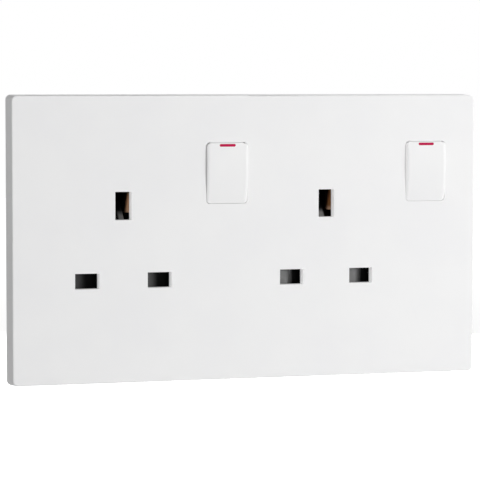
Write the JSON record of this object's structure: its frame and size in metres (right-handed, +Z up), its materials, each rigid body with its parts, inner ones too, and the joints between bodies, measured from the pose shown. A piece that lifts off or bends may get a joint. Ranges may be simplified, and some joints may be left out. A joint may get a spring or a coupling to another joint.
{
  "type": "twin wall socket",
  "caption": "Flat white switched wall socket for square-pin plugs: clip-on plate, rocker switches with red bars, shuttered pin slots, rear housing with clamp terminals.",
  "frame": {"origin": "centre of the wall plane, midway between the two fixing holes", "axes": "+X right seen from the front, +Y into the wall, +Z up; the front faces -Y"},
  "size_m": [0.146, 0.0308, 0.086],
  "materials": {
    "white_plastic": "satin moulded",
    "black_plastic": "semi-gloss moulded",
    "red_plastic": "satin moulded",
    "copper_alloy": "rolled sheet",
    "brass": "machined",
    "silver_alloy": "pressed",
    "spring_steel": "drawn wire",
    "plated_steel": "zinc plated"
  },
  "bodies": {
    "socket": {"chassis": "black_plastic", "earth_bar": "copper_alloy", "earth_terminal": "brass", "front_plate": "white_plastic", "housing_screws": "plated_steel", "left_earth_clip": "copper_alloy", "left_fixed_tip": "silver_alloy", "left_live_contact": "copper_alloy", "left_neutral_clip": "copper_alloy", "left_shutter_spring": "spring_steel", "live_bar": "copper_alloy", "live_terminal": "brass", "neutral_bar": "copper_alloy", "neutral_terminal": "brass", "rear_housing": "black_plastic", "right_earth_clip": "copper_alloy", "right_fixed_tip": "silver_alloy", "right_live_contact": "copper_alloy", "right_neutral_clip": "copper_alloy", "right_shutter_spring": "spring_steel", "terminal_screws": "plated_steel"},
    "left_switch": {"left_rocker": "white_plastic", "left_indicator": "red_plastic", "left_plunger_spring": "spring_steel"},
    "left_push": {"left_plunger": "black_plastic"},
    "left_lever": {"left_contact_arm": "copper_alloy", "left_moving_tip": "silver_alloy"},
    "left_gate": {"left_shutter": "black_plastic"},
    "right_switch": {"right_rocker": "white_plastic", "right_indicator": "red_plastic", "right_plunger_spring": "spring_steel"},
    "right_push": {"right_plunger": "black_plastic"},
    "right_lever": {"right_contact_arm": "copper_alloy", "right_moving_tip": "silver_alloy"},
    "right_gate": {"right_shutter": "black_plastic"}
  },
  "joints": [
    {"name": "left_rocker_tilt", "type": "hinge", "parent": "socket", "child": "left_switch", "pos_m": [-0.0069, -0.0046, 0.01945], "axis": [1, 0, 0], "range_deg": [-6, 0]},
    {"name": "left_arm_tilt", "type": "hinge", "parent": "socket", "child": "left_lever", "pos_m": [-0.0069, 0.0086, 0.01945], "axis": [1, 0, 0], "range_deg": [0, 16]},
    {"name": "left_plunger_slide", "type": "slide", "parent": "left_switch", "child": "left_push", "axis": [0, -0.9986, -0.0523], "range_m": [0, 0.0006], "stiffness_N_per_m": 400, "springref_m": -0.003, "deforming": ["left_plunger_spring"]},
    {"name": "left_shutter_slide", "type": "slide", "parent": "socket", "child": "left_gate", "axis": [0, 0, -1], "range_m": [0, 0.0048], "stiffness_N_per_m": 150, "springref_m": -0.003, "deforming": ["left_shutter_spring"]},
    {"name": "right_rocker_tilt", "type": "hinge", "parent": "socket", "child": "right_switch", "pos_m": [0.0567, -0.0046, 0.01945], "axis": [1, 0, 0], "range_deg": [-6, 0]},
    {"name": "right_arm_tilt", "type": "hinge", "parent": "socket", "child": "right_lever", "pos_m": [0.0567, 0.0086, 0.01945], "axis": [1, 0, 0], "range_deg": [0, 16]},
    {"name": "right_plunger_slide", "type": "slide", "parent": "right_switch", "child": "right_push", "axis": [0, -0.9986, -0.0523], "range_m": [0, 0.0006], "stiffness_N_per_m": 400, "springref_m": -0.003, "deforming": ["right_plunger_spring"]},
    {"name": "right_shutter_slide", "type": "slide", "parent": "socket", "child": "right_gate", "axis": [0, 0, -1], "range_m": [0, 0.0048], "stiffness_N_per_m": 150, "springref_m": -0.003, "deforming": ["right_shutter_spring"]}
  ],
  "couplings": [
    {"joint": "left_arm_tilt", "follows": "left_rocker_tilt", "ratio": -2.6667},
    {"joint": "right_arm_tilt", "follows": "right_rocker_tilt", "ratio": -2.6667}
  ]
}
